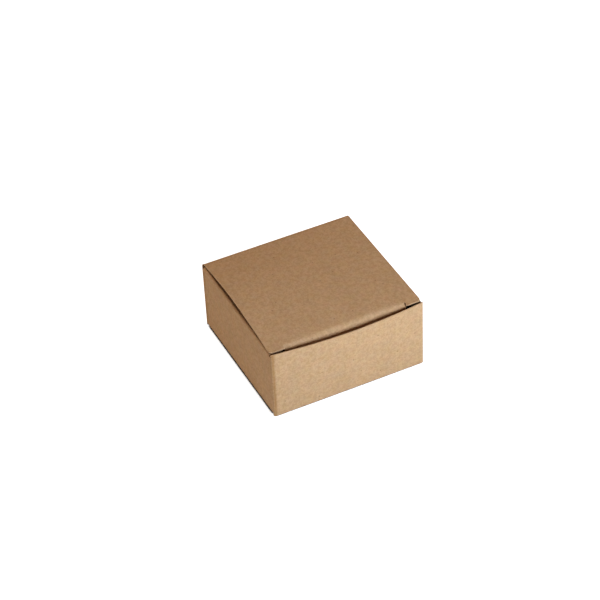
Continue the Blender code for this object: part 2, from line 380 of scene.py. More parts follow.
    def _hue(self, tree: Tree, place: Socket, tint: Rgb) -> Socket:
        """Drift of hue from patch to patch, times the face's own tint.

        Each channel is the patch's noise times its drift, plus 1, less half its drift.

        Args:
            tree: Node tree of the material.
            place: Place on the flat blank.
            tint: Share of the sheet's red, green and blue that this face shows.

        Returns:
            The factor for the sheet's colour.
        """
        patch = self._formation(tree, place, self.tint_size)
        reach = [drift * share for drift, share in zip(self.hue_drift, tint)]
        least = [(1 - drift / 2) * share for drift, share in zip(self.hue_drift, tint)]
        return add_node(tree, "ShaderNodeVectorMath", {"operation": "MULTIPLY_ADD"},
                        {0: patch.outputs["Color"], 1: reach, 2: least}).outputs[0]

    def _painted_crease_shade(self, tree: Tree) -> Socket:
        """Painted shade, or painted highlight below 0: 1, less the attribute times what a shaded line
        loses.

        Args:
            tree: Node tree of the material.

        Returns:
            The factor for the sheet's colour.
        """
        crease = add_node(tree, "ShaderNodeAttribute", {"attribute_name": PAINTED_LIGHT_ATTRIBUTE})
        change = [share - 1 for share in self.painted_shade_tint]
        return add_node(tree, "ShaderNodeVectorMath", {"operation": "MULTIPLY_ADD"},
                        {0: crease.outputs["Fac"], 1: change, 2: UNTINTED}).outputs[0]

    def _hairs(self, tree: Tree, place: Socket) -> Socket:
        """Pale fibres that lie along the sheet: noise drawn out along the grain, cut high.

        Args:
            tree: Node tree of the material.
            place: Place on the flat blank.

        Returns:
            How much of the sheet the hairs hide.
        """
        drawn = add_node(tree, "ShaderNodeMapping", {},
                         {"Vector": place, "Rotation": (0, 0, self.hair_turn),
                          "Scale": (1 / self.hair_length, 1 / self.hair_width, 1)})
        noise = add_node(tree, "ShaderNodeTexNoise", {"noise_dimensions": "2D"},
                         {"Vector": drawn.outputs[0], "Scale": 1.0, "Detail": self.hair_detail,
                          "Distortion": self.hair_waviness})
        begins, whole = self.hair_range
        return add_node(tree, "ShaderNodeMapRange", {},
                        {"Value": noise.outputs["Fac"], "From Min": begins, "From Max": whole,
                         "To Max": self.hair_cover}).outputs[0]

    def _flecks(self, tree: Tree, place: Socket) -> Socket:
        """Sparse dark shives: the nearness of scattered points, narrowed to specks.

        Args:
            tree: Node tree of the material.
            place: Place on the flat blank.

        Returns:
            How much of the sheet the shives hide.
        """
        points = add_node(tree, "ShaderNodeTexVoronoi", {"voronoi_dimensions": "2D"},
                          {"Vector": place, "Scale": 1 / self.fleck_spacing})
        reach = self.fleck_radius / self.fleck_spacing
        return add_node(tree, "ShaderNodeMapRange", {},
                        {"Value": points.outputs["Distance"], "From Min": reach / 2,
                         "From Max": reach, "To Min": self.fleck_cover, "To Max": 0.0}).outputs[0]

    def _dress_edge(self, tree: Tree, shader: bpy.types.Node, place: Socket) -> None:
        """Dress a cut edge in open fibre: paler than the face, and faintly mottled.

        Args:
            tree: Node tree of the material.
            shader: Its Principled BSDF.
            place: Place on the flat blank.
        """
        grit = self._formation(tree, place, self.grit_size)
        mixed = add_node(tree, "ShaderNodeMix", {"data_type": "RGBA"},
                         {"Factor": grit.outputs["Fac"], MIX_FIRST: linear(self.hair),
                          MIX_SECOND: linear(self.edge)})
        tree.links.new(mixed.outputs[MIX_RESULT], shader.inputs["Base Color"])


@dataclass
class Sheet:
    """One stretch of board: a grid on its middle surface, with its place on the flat blank."""

    name: str
    points: np.ndarray  # rows by columns by x, y, z
    blank: np.ndarray  # rows by columns by across, up
    crease: np.ndarray  # rows by columns: painted shade above 0, painted highlight below 0
    flip: bool = False  # the rows and columns run the other way round, seen from the face
    cut: np.ndarray | None = None  # cells that the die cuts away

    def build(self, thickness: float, materials: list[bpy.types.Material]) -> bpy.types.Object:
        """Make the thickened board.

        Args:
            thickness: Thickness of the board, in metres.
            materials: Materials of the face, the inside and the cut edge.

        Returns:
            The object, with its place in its mesh.
        """
        rows, columns = self.points.shape[:2]
        index = np.arange(rows * columns).reshape(rows, columns)
        cells = np.stack([index[:-1, :-1], index[:-1, 1:], index[1:, 1:], index[1:, :-1]], axis=-1)
        if self.flip:
            cells = cells[..., ::-1]
        kept = cells.reshape(-1, 4) if self.cut is None else cells[~self.cut]
        used, corners = np.unique(kept, return_inverse=True)
        mesh = bpy.data.meshes.new(self.name)
        mesh.from_pydata(self.points.reshape(-1, 3)[used], [], corners.reshape(-1, 4))
        places = self.blank.reshape(-1, 2)[used][corners.ravel()]
        mesh.uv_layers.new(name=BLANK_MAP).uv.foreach_set("vector", places.ravel().astype(np.float32))
        crease = mesh.attributes.new(PAINTED_LIGHT_ATTRIBUTE, "FLOAT", "POINT")
        crease.data.foreach_set("value", self.crease.reshape(-1)[used].astype(np.float32))
        self._sharpen_rim(mesh)
        for material in materials:
            mesh.materials.append(material)
        board = bpy.data.objects.new(self.name, mesh)
        bpy.context.scene.collection.objects.link(board)
        self._thicken(board, thickness)
        return board

    @staticmethod
    def _sharpen_rim(mesh: bpy.types.Mesh) -> None:
        """Shade the sheet smooth, with a sharp line along every edge that has one face.

        Args:
            mesh: The sheet.
        """
        mesh.shade_smooth()
        edge_of = np.zeros(len(mesh.loops), np.int32)
        mesh.loops.foreach_get("edge_index", edge_of)
        rim = np.bincount(edge_of, minlength=len(mesh.edges)) == 1
        mesh.edges.foreach_set("use_edge_sharp", rim)

    @staticmethod
    def _thicken(board: bpy.types.Object, thickness: float) -> None:
        """Give the sheet its thickness, half to each side of its middle surface.

        Args:
            board: The sheet's object.
            thickness: Thickness of the board, in metres.
        """
        solid = board.modifiers.new("board", "SOLIDIFY")
        solid.thickness = thickness
        solid.offset = 0
        solid.use_even_offset = True
        solid.material_offset = int(Surface.INSIDE)
        solid.material_offset_rim = int(Surface.CUT_EDGE)


def fade_from(places: np.ndarray, lines: list[float], reach: float) -> np.ndarray:
    """Nearness to the nearest of some lines: a bell curve, 1 on a line and small past `reach`.

    Args:
        places: Coordinates across the lines.
        lines: Coordinates of the lines.
        reach: Distance at which the bell has fallen to about a third.

    Returns:
        One value for each place.
    """
    gap = np.min(np.abs(places[..., None] - np.array(lines)), axis=-1)
    return np.exp(-(gap / reach) ** 2)


def fold(radius: float, steps: int) -> tuple[np.ndarray, np.ndarray, np.ndarray]:
    """Quarter round of a closed crease, from the carrying panel to the folded one.

    The point at turn t lies r(1 - cos t) along the folded panel and r(sin t - 1) out of it.

    Args:
        radius: Radius of the middle surface.
        steps: Number of facets.

    Returns:
        The places along, the places out, and the length of board up to each.
    """
    turn = np.linspace(0, QUARTER, steps + 1)
    return radius * (1 - np.cos(turn)), radius * (np.sin(turn) - 1), radius * turn


@dataclass(frozen=True)
class Stretch:
    """One wall, flap or corner on the walk round the sleeve."""

    plan: np.ndarray  # x and y of each column
    foot: float | np.ndarray  # height of the lower cut edge
    drop: float | np.ndarray  # how far the upper cut edge lies below the closed box's top


@dataclass
class Sleeve:
    """Walls and glue flap: one sheet that runs round the box with a round fold at each corner."""

    sizes: CartonSizes
    fold_steps: int = 10
    rows: int = 30
    front_columns: int = 64
    side_columns: int = 24
    glue_columns: int = 4
    glue_taper: float = math.radians(15)
    corner_inset: float = 0.00035  # the upright folds end this far inside the closed faces
    notch_depth: float = 0.0003  # the die-cut notch at each end of the front wall's top edge
    rim_tilt: float = 0.00025  # the front wall's top is this much higher on its left, lower on its right
    painted_shade_reach: float = 0.0006
    plan: np.ndarray = field(init=False)
    along: np.ndarray = field(init=False)
    feet: np.ndarray = field(init=False)
    drops: np.ndarray = field(init=False)
    starts: dict[Wall, float] = field(init=False)
    creases: list[float] = field(init=False)

    def __post_init__(self) -> None:
        """Note each column's place, its place on the blank and its cut edges.

        A column's place on the blank is the length of the walk up to it. A stretch whose first
        point is left out starts at the last point of the stretch before it.
        """
        walk = self._walk()
        stretches = walk.values()
        self.plan = np.concatenate([part.plan for part in stretches])
        self.feet = np.concatenate([np.broadcast_to(part.foot, len(part.plan)) for part in stretches])
        self.drops = np.concatenate([np.broadcast_to(part.drop, len(part.plan)) for part in stretches])
        step = np.linalg.norm(np.diff(self.plan, axis=0), axis=1)
        self.along = np.concatenate([[0.0], np.cumsum(step)])
        last = dict(zip(walk, np.cumsum([len(part.plan) for part in stretches]) - 1))
        self.starts = {
            Wall.RIGHT: self.along[last["glue_corner"] + 1],
            Wall.LEFT: self.along[last["left_corner"] + 1],
            Wall.BACK: self.along[last["back_corner"]],
        }
        corners = [last[name] for name in walk if name.endswith("corner")]
        self.creases = [float(self.along[corner - self.fold_steps]) for corner in corners]

    def _walk(self) -> dict[str, Stretch]:
        """Walk round the box from the glue flap to the back wall, clockwise seen from above.

        The glue flap's ends taper evenly. The notch falls off by a square law round its corner,
        and the front wall's top edge runs straight from its higher left to its lower right.

        Returns:
            The stretches of the sleeve, in order.
        """
        s = self.sizes
        gap = s.crease_gap
        left, right = s.left_x + s.fold_radius, s.right_x - s.fold_radius
        front, glue, back = s.front_y + s.fold_radius, s.glue_y - s.fold_radius, s.back_y - s.fold_radius
        glue_plan = self._line((s.glue_end_x, s.glue_y), (right, s.glue_y), self.glue_columns)
        right_plan = self._line((s.right_x, glue - gap), (s.right_x, front + gap), self.side_columns)
        front_plan = self._line((right, s.front_y), (left, s.front_y), self.front_columns)
        left_plan = self._line((s.left_x, front + gap), (s.left_x, back - gap), self.side_columns)
        back_plan = self._line((left, s.back_y), (s.back_end_x, s.back_y), self.side_columns)
        to_free_end = np.linspace(1, 0, self.glue_columns + 1)
        glue_edge = s.dust_edge + to_free_end * (right - s.glue_end_x) * math.tan(self.glue_taper)
        notch = self.notch_depth * np.linspace(1, 0, self.fold_steps + 1) ** 2
        right_edge = notch + self.rim_tilt
        front_edge = self.rim_tilt * np.linspace(1, -1, self.front_columns + 1)[1:]
        left_edge = notch[-2::-1] - self.rim_tilt
        inset = self.corner_inset
        return {
            "glue_flap": Stretch(glue_plan, glue_edge, glue_edge),
            "glue_corner": Stretch(self._round(right, glue, QUARTER)[1:], inset, inset),
            "right_wall": Stretch(right_plan, s.dust_edge, s.dust_edge),
            "right_corner": Stretch(self._round(right, front, 0), 0.0, right_edge),
            "front_wall": Stretch(front_plan[1:], 0.0, front_edge),
            "left_corner": Stretch(self._round(left, front, -QUARTER)[1:], 0.0, left_edge),
            "left_wall": Stretch(left_plan, s.dust_edge, s.dust_edge),
            "back_corner": Stretch(self._round(left, back, -2 * QUARTER), inset, inset),
            "back_wall": Stretch(back_plan[1:], s.cover_edge, s.cover_edge),
        }

    @staticmethod
    def _line(start: tuple[float, float], end: tuple[float, float], steps: int) -> np.ndarray:
        """Evenly spaced plan points from start to end."""
        return np.linspace(start, end, steps + 1)

    def _round(self, x: float, y: float, start: float) -> np.ndarray:
        """Plan points of a corner's fold: a quarter circle, clockwise.

        Args:
            x: Place of the circle's centre.
            y: The same along Y.
            start: Angle of the first point, in radians from +X.

        Returns:
            Pairs of x and y.
        """
        turn = start - np.linspace(0, QUARTER, self.fold_steps + 1)
        r = self.sizes.fold_radius
        return np.stack([x + r * np.cos(turn), y + r * np.sin(turn)], axis=1)

    def blank_across(self, wall: Wall, place: np.ndarray) -> np.ndarray:
        """Blank place of points along a wall's crease.

        Args:
            wall: Wall that carries the crease.
            place: X of the points on the back wall, or Y on a side wall.

        Returns:
            Their coordinates along the sleeve's walk on the blank.
        """
        s = self.sizes
        r, gap = s.fold_radius, s.crease_gap
        if wall is Wall.BACK:
            return self.starts[wall] + place - (s.left_x + r)
        if wall is Wall.LEFT:
            return self.starts[wall] + place - (s.front_y + r + gap)
        return self.starts[wall] + (s.glue_y - r - gap) - place

    def bulge(self, height: np.ndarray) -> np.ndarray:
        """How far each point of the front wall springs forward.

        A half cosine wave across the wall, times the mean of the height's share and its square.

        Args:
            height: Z of the grid's points.

        Returns:
            Distance towards the front for each point.
        """
        s = self.sizes
        x, y = self.plan.T
        span = s.right_x - s.fold_radius
        swell = np.cos(QUARTER * np.minimum(np.abs(x) / span, 1)) * (y < s.front_y + s.fold_radius / 2)
        rise = height / s.height
        return s.bow * swell * (rise + rise**2) / 2

    def build(self, materials: list[bpy.types.Material]) -> bpy.types.Object:
        """Make the sleeve, which rides on the sleeve's body and stands for its five CAD nodes.

        Each column runs evenly from its lower cut edge to its upper one.

        Args:
            materials: Materials of the face, the inside and the cut edge.

        Returns:
            The board.
        """
        s = self.sizes
        share = np.linspace(0, 1, self.rows + 1)[:, None]
        height = self.feet + (s.height - self.feet - self.drops) * share
        x, y = np.broadcast_to(self.plan.T[:, None], (2, *height.shape))
        points = np.stack([x, y - self.bulge(height), height], axis=-1)
        along = np.broadcast_to(self.along, height.shape)
        blank = np.stack([along, height], axis=-1)
        # Painted shade along each upright fold of the corners.
        crease = fade_from(along, self.creases, self.painted_shade_reach)
        board = Sheet("sleeve_board", points, blank, crease, flip=True).build(s.board, materials)
        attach(board, "sleeve")
        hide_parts("front_wall", "left_wall", "back_wall", "right_wall", "glue_flap")
        return board


@dataclass
class Closure:
    """One end of the box: a cover, its tuck flap and two dust flaps.

    A cover's own coordinates are x, the distance along it from its square back corner to the
    front, and the distance out of the closed box from its middle plane.
    """

    sizes: CartonSizes
    sleeve: Sleeve
    end: End
    base_play: float = 0.0008  # the bottom panel is this much narrower on each side
    side_play: float = 0.0005  # the cover's left edge springs in by this, and not at its front
    side_play_fade: int = 5  # power of the way to the front by which that play fades
    crease_inset: float = 0.0002  # the cover is this much narrower each side at its crease
    crease_inset_run: float = 0.0012
    cover_corner: float = 0.0018
    slit_length: float = 0.0084
    seam: float = 0.00005  # between the roll's end and the flat end, where the slit is shut
    nick_width: float = 0.0007
    nick_start: float = 0.0014  # past the start of the roll
    nick_length: float = 0.0025
    nick_skew: float = 1.3  # the nick is widest nearer its front
    left_nick_share: float = 0.0  # the left nick is closed
    left_setback: float = 0.0008  # the lid's flat ends stop this far behind the tuck flap's outer face
    right_setback: float = 0.0003
    left_droop: float = 0.0006  # the lid's flat end bends down this much beside the left slit
    droop_reach: float = 0.0025
    arch: float = 0.00244  # the lid's left edge springs up by about this
    arch_skew_share: float = 0.15  # second wave's share, which moves the crest back
    roll_start: float = 0.0018  # the lid begins to roll over this far before its straight part's end
    roll_lead: float = 0.001  # flat board just behind the roll, made with the tuck flap
    roll_slack: float = 0.0004  # how far the roll's middle stays back from the bowed wall
    roll_tightening: float = 0.0015  # the roll's radius is this much less beside the slits
    tightening_reach: float = 0.006
    left_tightening_share: float = 0.3  # the left end tightens less
    tuck_lean: float = math.radians(7)
    tuck_corner: float = 0.008
    shoulder_length: float = 0.0072
    shoulder_step: float = 0.0032
    dust_corner: float = 0.004
    dust_front_taper: float = math.radians(5)
    dust_rear_taper: float = math.radians(30)
    painted_shade_reach: float = 0.0006
    painted_shade_lead: float = 0.0005  # the cover's line of painted shade lies this far in from its fold
    rim_painted_shade: float = 0.5  # painted shade along the cover's right edge
    dust_painted_shade: float = 0.3  # the dust flaps' lines of painted shade are light
    tuck_painted_shade: float = 1.7  # the tuck flap's painted shade, low on its roll, is strong
    tuck_shade_turn: float = math.radians(80)  # where on the roll that painted shade is darkest
    tuck_shade_reach: float = math.radians(32)
    stretch: float = 0.5  # painted highlight near the roll's start
    highlight_turn: float = math.radians(28)  # where the painted highlight is brightest
    highlight_reach: float = math.radians(16)
    fold_steps: int = 10
    roll_steps: int = 28
    cover_columns: int = 48
    cover_corner_steps: int = 6
    wing_columns: int = 5  # from a slit's nick to the cover's rounded corner
    cover_rows: int = 48
    front_rows: int = 14  # of the flat ends beside the slits
    lead_rows: int = 2
    tuck_rows: int = 6
    tuck_corner_steps: int = 10
    dust_rows: int = 14
    shoulder_columns: int = 3
    dust_front_columns: int = 7
    dust_end_columns: int = 11
    dust_corner_steps: int = 8

    @property
    def prefix(self) -> str:
        """What the names of this closure's flaps start with."""
        return "" if self.end is End.TOP else "bottom_"

    @property
    def cover_name(self) -> str:
        """Name of the cover's node and body."""
        return "lid" if self.end is End.TOP else "bottom_panel"

    @property
    def straight_end(self) -> float:
        """Distance from the cover's square back corner to where its front roll starts."""
        return self.sizes.back_y - self.sizes.tuck_y - self.sizes.roll_end_radius

    @property
    def roll_from(self) -> float:
        """Distance from the cover's square back corner to where it begins to roll over."""
        return self.straight_end - (self.roll_start if self.end is End.TOP else 0)

    @property
    def hinge_strip(self) -> float:
        """Flat board from the edge of the sleeve's sheet to where the cover's fold begins."""
        return self.sizes.cover_edge - self.sizes.board / 2 - self.sizes.fold_radius

    @property
    def half_width(self) -> float:
        """Half of the cover's width."""
        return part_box(self.cover_name)[1].x - (self.base_play if self.end is End.BASE else 0)

    @property
    def slit_x(self) -> float:
        """Where each slit ends and the roll begins."""
        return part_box(self.cover_name)[1].x - self.slit_length

    def level(self, inset: float) -> float:
        """Height of a plane that lies `inset` in from this end of the box."""
        return self.sizes.height - inset if self.end is End.TOP else inset

    def blank_from_edge(self, edge: float, length: np.ndarray) -> np.ndarray:
        """Blank place of points that lie `length` of board past a wall's edge."""
        return self.level(edge) + length * self.end

    def place(self, x: np.ndarray, along: np.ndarray, out: np.ndarray) -> np.ndarray:
        """World points of a cover's own coordinates.

        Args:
            x: Places across the cover.
            along: Places along it.
            out: Places out of the box.

        Returns:
            The points, with x, y and z on the last axis.
        """
        level = self.level(self.sizes.board / 2)
        x, along, out = np.broadcast_arrays(x, along, out)
        return np.stack([x, self.sizes.back_y - along, level + out * self.end], axis=-1)

    def lift(self, x: np.ndarray, share: np.ndarray) -> np.ndarray:
        """How far the lid springs up.

        A half sine wave along the lid plus a share of its second wave, fading evenly from the
        left edge to the right. The bottom panel lies flat.

        Args:
            x: Places across the cover.
            share: Places along it, as shares of its straight part.

        Returns:
            Distance out for each point.
        """
        if self.end is End.BASE:
            return np.zeros(np.broadcast_shapes(x.shape, share.shape))
        across = (self.half_width - x) / (2 * self.half_width)
        wave = np.sin(math.pi * share) + self.arch_skew_share * np.sin(2 * math.pi * share)
        return self.arch * across * wave

    def droop(self, x: np.ndarray, along: np.ndarray) -> np.ndarray:
        """How far the lid's flat end hangs beside the left slit: a square law both ways.

        Args:
            x: Places across the cover.
            along: Places along it.

        Returns:
            Distance in for each point.
        """
        past = np.clip((along - self.roll_from) / (self.front_of(x) - self.roll_from), 0, 1)
        near = np.clip(1 - (-x - self.slit_x) / self.droop_reach, 0, 1) * (x <= -self.slit_x)
        return self.left_droop * past**2 * near**2 * (self.end is End.TOP)

    def roll_radius(self, x: np.ndarray) -> np.ndarray:
        """Radius of the roll: the lid's widens in its middle to fill the front wall's bow.

        The widening is a half cosine wave from slit to slit.

        Args:
            x: Places across the cover.

        Returns:
            One radius for each place.
        """
        s = self.sizes
        bulge = s.roll_middle_radius - s.roll_end_radius - self.roll_slack if self.end is End.TOP else 0.0
        return s.roll_end_radius + bulge * np.cos(QUARTER * np.minimum(np.abs(x) / self.slit_x, 1))

    def front_of(self, x: np.ndarray) -> np.ndarray:
        """Where the cover's cut front edge lies, with its rounded corner.

        Past the corner's start the edge falls back along a quarter circle.

        Args:
            x: Places across the cover.

        Returns:
            Distance from the square back corner for each place.
        """
        s = self.sizes
        cut_edge = s.back_y - s.tuck_y + s.board / 2
        past = np.maximum(np.abs(x) - (self.half_width - self.cover_corner), 0)
        if self.end is End.TOP:
            cut_edge = cut_edge - np.where(x < 0, self.left_setback, self.right_setback)
        return cut_edge - self.cover_corner + np.sqrt(np.maximum(self.cover_corner**2 - past**2, 0))

    def dress(self, board: bpy.types.Object, body: str) -> bpy.types.Object:
        """Fix a board's place in its mesh and let it stand for its CAD node.

        Args:
            board: The board, final.
            body: Name of the turning CAD node that the board stands for.

        Returns:
            The same board.
        """
        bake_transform(board)
        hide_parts(body)
        log.info("%s: %d points", board.name, len(board.data.vertices))
        return board

    def cover_x(self) -> np.ndarray:
        """Columns of the cover: even in the middle and on both flat ends, closer at the corners.

        Returns:
            Their x, from left to right.
        """
        turn = np.linspace(0, QUARTER, self.cover_corner_steps + 1)
        corner = self.half_width - self.cover_corner * (1 - np.sin(turn))
        wing = np.linspace(self.slit_x + self.nick_width, corner[0], self.wing_columns + 1)[:-1]
        side = np.concatenate([[self.slit_x], wing, corner])
        middle = np.linspace(-self.slit_x, self.slit_x, self.cover_columns + 1)[1:-1]
        return np.concatenate([-side[::-1], middle, side])

    def cover_rise(self, x: np.ndarray) -> tuple[np.ndarray, np.ndarray, np.ndarray]:
        """Rows of the cover: the strip on the back wall, the fold, the flat and the flat ends.

        Args:
            x: Columns of the cover.

        Returns:
            The places along, the places out, and the length of board up to each.
        """
        s = self.sizes
        fold_along, fold_out, fold_length = fold(s.fold_radius, self.fold_steps)
        folded = slice(1, len(fold_out) + 1)
        lead = self.roll_from - self.roll_lead
        flat = np.linspace(s.fold_radius, lead, self.cover_rows + 1)[1:]
        steps = np.linspace(0, 1, self.front_rows + 1)[1:, None]
        along = np.concatenate([[0.0], fold_along, flat])[:, None] + np.zeros(len(x))
        along = np.concatenate([along, lead + (self.front_of(x) - lead) * steps])
        out = np.zeros(along.shape)
        out[0] = -s.fold_radius - self.hinge_strip
        out[folded] = fold_out[:, None]
        out += self.lift(x, np.minimum(along / self.straight_end, 1)) - self.droop(x, along)
        length = np.maximum(along - s.fold_radius, 0) + fold_length[-1] + self.hinge_strip
        length[0] = 0
        length[folded] = self.hinge_strip + fold_length[:, None]
        return along, out, length

    def cover_across(self, x: np.ndarray, along: np.ndarray) -> np.ndarray:
        """Spread the cover's columns: narrower at its crease, sprung in at its left, cut at its nicks.

        The inset fades evenly from the crease. The play grows evenly from the slit to the left
        edge and fades by a high power of the way to the front. A nick opens and shuts along the
        slit as half a sine wave of a power of the way.

        Args:
            x: Columns of the cover.
            along: Places along it.

        Returns:
            X of each point.
        """
        inset = self.crease_inset * (1 - np.minimum(along / self.crease_inset_run, 1))
        squeeze = np.clip((-x - self.slit_x) / self.slit_length, 0, 1)
        fade = 1 - np.minimum(along / self.straight_end, 1) ** self.side_play_fade
        across = x * (1 - inset / self.half_width) + self.side_play * squeeze * fade
        nicks = np.flatnonzero(np.isclose(np.abs(x), self.slit_x + self.nick_width))
        past = along[-self.front_rows:, nicks] - self.roll_from - self.nick_start
        opened = np.sin(math.pi * np.clip(past / self.nick_length, 0, 1) ** self.nick_skew)
        width = self.nick_width * np.where(x[nicks] < 0, self.left_nick_share, 1) * opened
        across[-self.front_rows:, nicks] = np.sign(x[nicks]) * (self.slit_x + self.seam + width)
        return across

    def build_cover(self, materials: list[bpy.types.Material]) -> bpy.types.Object:
        """Make the cover: its crease, its flat and the two flat ends beyond the slits.

        A line of painted shade lies just inside its fold, and weaker painted shade along its right edge.

        Args:
            materials: Materials of the face, the inside and the cut edge.

        Returns:
            The board.
        """
        s = self.sizes
        x = self.cover_x()
        along, out, length = self.cover_rise(x)
        across = self.cover_across(x, along)
        blank = np.stack([self.sleeve.blank_across(Wall.BACK, across),
                          self.blank_from_edge(s.cover_edge, length)], axis=-1)
        # Painted shade just inside the fold and, weaker, along the right edge.
        painted_shade_line = self.hinge_strip + s.fold_radius * QUARTER + self.painted_shade_lead
        crease = fade_from(length, [painted_shade_line], self.painted_shade_reach)
        crease += self.rim_painted_shade * fade_from(x, [self.half_width], self.painted_shade_reach)
        cell_rows = len(along) - 1
        in_front = np.arange(cell_rows) >= cell_rows - self.front_rows
        inner = np.abs(x[:-1] + x[1:]) / 2 < self.slit_x + self.nick_width
        sheet = Sheet(f"{self.cover_name}_board", self.place(across, along, out), blank, crease,
                      flip=self.end is End.TOP, cut=in_front[:, None] & inner)
        return self.dress(sheet.build(s.board, materials), self.cover_name)

    def tuck_x(self, half_width: float) -> np.ndarray:
        """Columns of the tuck flap: even in its middle, closer at its rounded corners.

        A column lies on each slit's end, and takes the place of those too near it.

        Args:
            half_width: Half of the flap's width.

        Returns:
            Their x, from left to right.
        """
        turn = np.linspace(0, QUARTER, self.tuck_corner_steps + 1)
        corner = half_width - self.tuck_corner * (1 - np.sin(turn))
        inside = corner[corner < self.slit_x - self.nick_width]
        beyond = corner[corner > self.slit_x + self.nick_width]
        middle = np.linspace(-inside[0], inside[0], self.cover_columns + 1)[1:-1]
        side = np.concatenate([inside, [self.slit_x], beyond])
        return np.concatenate([-side[::-1], middle, side])

    def tuck_fall(self, x: np.ndarray, bend: np.ndarray, half_width: float,
                  depth: float) -> tuple[np.ndarray, np.ndarray, np.ndarray]:
        """Rows of the tuck flap: its flat lead, its roll and the leaning flap.

        The point of the roll at turn t lies r sin t along and r(cos t - 1) out. The radius falls
        off beside each slit by a bell curve. Past the corner's start the free end falls back
        along a quarter circle.

        Args:
            x: Columns of the flap.
            bend: Turns of the roll's rows, as a column.
            half_width: Half of the flap's width.
            depth: How far its free end lies in from the cover's middle plane.

        Returns:
            The places along, the places out, and the length of board up to each.
        """
        tight = self.roll_tightening * np.exp(-((self.slit_x - np.abs(x)) / self.tightening_reach) ** 2)
        tight = tight * np.where(x < 0, self.left_tightening_share, 1)
        radius = self.roll_radius(x) + (self.straight_end - self.roll_from) - tight
        along = self.roll_from + tight + radius * np.sin(bend)
        out = radius * (np.cos(bend) - 1)
        length = tight + radius * bend
        past = np.maximum(np.abs(x) - (half_width - self.tuck_corner), 0)
        rounding = self.tuck_corner - np.sqrt(np.maximum(self.tuck_corner**2 - past**2, 0))
        reach = np.maximum(depth - rounding + out[-1], self.sizes.board) / math.cos(self.tuck_lean)
        steps = np.linspace(0, 1, self.tuck_rows + 1)[1:, None] * reach
        lead = np.linspace(-self.roll_lead, 0, self.lead_rows + 1)[:-1, None] + np.zeros(len(x))
        lead_along = self.roll_from + lead
        lead_out = self.lift(x, lead_along / self.straight_end)
        along = np.concatenate([lead_along, along, along[-1] - steps * math.sin(self.tuck_lean)])
        out = np.concatenate([lead_out, out, out[-1] - steps * math.cos(self.tuck_lean)])
        return along, out, np.concatenate([lead, length, length[-1] + steps]) + self.roll_from

    def build_tuck(self, materials: list[bpy.types.Material]) -> bpy.types.Object:
        """Make the tuck flap: the roll between the slits, and the flap with its shoulders.

        The roll carries a painted highlight near its start and painted shade near its end.

        Args:
            materials: Materials of the face, the inside and the cut edge.

        Returns:
            The board.
        """
        s = self.sizes
        name = self.prefix + "tuck_flap"
        low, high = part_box(name)
        depth = s.height - s.board / 2 - low.z if self.end is End.TOP else high.z - s.board / 2
        x = self.tuck_x(high.x)
        bend = np.linspace(0, QUARTER + self.tuck_lean, self.roll_steps + 1)[:, None]
        along, out, length = self.tuck_fall(x, bend, high.x, depth)
        before = self.hinge_strip + s.fold_radius * (QUARTER - 1)
        across = self.sleeve.blank_across(Wall.BACK, x) + np.zeros(along.shape)
        blank = np.stack([across, self.blank_from_edge(s.cover_edge, before + length)], axis=-1)
        # Painted highlight near the roll's start, painted shade low on the roll.
        painted_highlight = self.stretch * fade_from(bend, [self.highlight_turn], self.highlight_reach)
        tuck_shade = self.tuck_painted_shade * fade_from(bend, [self.tuck_shade_turn], self.tuck_shade_reach)
        crease = np.zeros(along.shape)
        crease[self.lead_rows:self.lead_rows + len(bend)] = tuck_shade - painted_highlight
        shoulders = np.abs(x[:-1] + x[1:]) / 2 > self.slit_x
        above_flap = np.arange(len(along) - 1) < self.lead_rows + self.roll_steps
        sheet = Sheet(f"{name}_board", self.place(x, along, out), blank, crease,
                      flip=self.end is End.TOP, cut=above_flap[:, None] & shoulders)
        start = self.place(*np.array([0.0, self.roll_from, 0.0]))
        widest = self.roll_radius(np.array(0.0)) + (self.straight_end - self.roll_from)
        end = self.place(*np.array([0.0, self.roll_from + widest, -widest]))
        return self.dress(sheet.build(s.board, materials), name)

    def dust_outline(self, length: float, front: float, rear: float) -> np.ndarray:
        """Free edge of a dust flap from its front to its rear.

        A lock shoulder, a step back, a slightly tapered front, two rounded tips and a rear taper.

        Args:
            length: Reach of the flap from its wall.
            front: Y of its front at the wall.
            rear: Y of its rear at the wall.

        Returns:
            Pairs of reach and y.
        """
        shoulder = np.array([self.shoulder_length, front + self.shoulder_step])
        run = length - self.shoulder_length
        front_tip = np.array([length, shoulder[1] + run * math.tan(self.dust_front_taper)])
        rear_tip = np.array([length, rear - length * math.tan(self.dust_rear_taper)])
        front_round = self.rounded(shoulder, front_tip, rear_tip)
        rear_round = self.rounded(front_tip, rear_tip, np.array([0.0, rear]))
        return np.concatenate([
            np.linspace((self.shoulder_length, front), shoulder, self.shoulder_columns + 1)[:-1],
            np.linspace(shoulder, front_round[0], self.dust_front_columns + 1)[:-1],
            front_round,
            np.linspace(front_round[-1], rear_round[0], self.dust_end_columns + 1)[1:-1],
            rear_round,
        ])

    def rounded(self, before: np.ndarray, tip: np.ndarray, after: np.ndarray) -> np.ndarray:
        """Round a corner on a circle that touches both edges beside it.

        Even steps on the chord from touch to touch are moved out to the circle.

        Args:
            before: Point on the edge that comes in.
            tip: The sharp corner.
            after: Point on the edge that goes out.

        Returns:
            Points on the arc, in order.
        """
        back = (before - tip) / np.linalg.norm(before - tip)
        ahead = (after - tip) / np.linalg.norm(after - tip)
        half_angle = math.acos(float(back @ ahead)) / 2
        middle = (back + ahead) / np.linalg.norm(back + ahead)
        centre = tip + middle * self.dust_corner / math.sin(half_angle)
        start = tip + back * self.dust_corner / math.tan(half_angle) - centre
        end = tip + ahead * self.dust_corner / math.tan(half_angle) - centre
        share = np.linspace(0, 1, self.dust_corner_steps + 1)[:, None]
        chord = start * (1 - share) + end * share
        return centre + chord / np.linalg.norm(chord, axis=1, keepdims=True) * self.dust_corner

